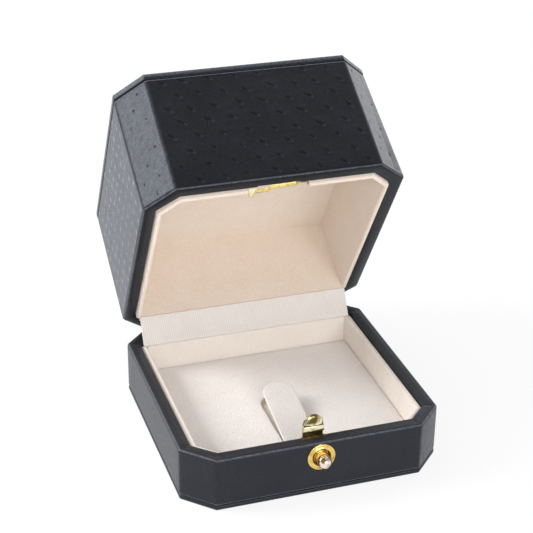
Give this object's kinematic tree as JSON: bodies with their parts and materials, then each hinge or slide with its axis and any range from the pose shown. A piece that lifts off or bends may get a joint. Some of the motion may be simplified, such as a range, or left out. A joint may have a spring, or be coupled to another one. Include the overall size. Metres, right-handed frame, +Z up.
{
  "type": "ring display box",
  "caption": "eight-sided leatherette ring box with a sprung lid, push-button catch, suede linings and a lifting ring flap",
  "frame": {"origin": "middle of the flat underside, which rests on the table", "axes": "+Z up, -Y to the front with the button, +X to the right seen from the front; the lid stands open"},
  "size_m": [0.065, 0.0984, 0.0856],
  "materials": {
    "leatherette": "black embossed leatherette with a soft sheen",
    "moulded_board": "plain dark moulding, hidden under the covering",
    "suede": "cream suede cloth on card",
    "foam": "open-cell foam",
    "brass": "polished and lacquered",
    "dark_brass": "dull brass",
    "hinge_brass": "brass plated, satin",
    "steel": "bright drawn wire and sheet",
    "hinge_cloth": "ribbed greyish cream cloth"
  },
  "bodies": {
    "base": {"bottom_plate": "leatherette", "base_shell": "moulded_board", "base_wrap": "leatherette", "base_left_lining": "suede", "base_right_lining": "suede", "base_back_lining": "suede", "pad_foam": "foam", "ring_pad": "suede", "button_bezel": "brass", "catch_pin": "steel", "catch_spring": "steel", "catch_bracket": "steel", "bracket_rivets": "steel", "wear_plate": "brass", "wear_plate_nail": "dark_brass", "base_hinge_leaf": "hinge_brass", "hinge_pin": "steel", "hinge_springs": "steel", "base_hinge_rivets": "hinge_brass", "hinge_cover": "hinge_cloth"},
    "lid": {"lid_shell": "moulded_board", "lid_wrap": "leatherette", "lid_top_plate": "leatherette", "lid_wall_lining": "suede", "lid_back_lining": "suede", "lid_ceiling": "suede", "ceiling_foam": "foam", "strike_plate": "brass", "strike_nails": "dark_brass", "lid_hinge_leaf": "hinge_brass", "lid_hinge_rivets": "hinge_brass"},
    "button": {"push_button": "brass"},
    "catch": {"catch_lever": "brass"},
    "flap": {"ring_flap": "suede"}
  },
  "joints": [
    {"name": "lid_hinge", "type": "hinge", "parent": "base", "child": "lid", "pos_m": [0, 0.0314, 0.01283], "axis": [1, 0, 0], "range_deg": [0, 58.5], "stiffness_Nm_per_rad": 0.0176, "springref_deg": -19.48, "deforming": ["hinge_cover", "hinge_springs"]},
    {"name": "button_press", "type": "slide", "parent": "base", "child": "button", "axis": [0, 1, 0], "range_m": [0, 0.0007], "stiffness_N_per_m": 250, "springref_m": -0.001},
    {"name": "catch_rock", "type": "hinge", "parent": "base", "child": "catch", "pos_m": [-0.001, -0.0276, 0.0045], "axis": [-1, 0, 0], "range_deg": [0, 7.16], "deforming": ["catch_spring"]},
    {"name": "flap_lift", "type": "hinge", "parent": "base", "child": "flap", "pos_m": [0, -0.0185, 0.0054], "axis": [1, 0, 0], "range_deg": [-12.5, 20], "stiffness_Nm_per_rad": 0.001}
  ],
  "couplings": [
    {"joint": "catch_rock", "follows": "button_press", "rad_per_m": 178.57}
  ]
}
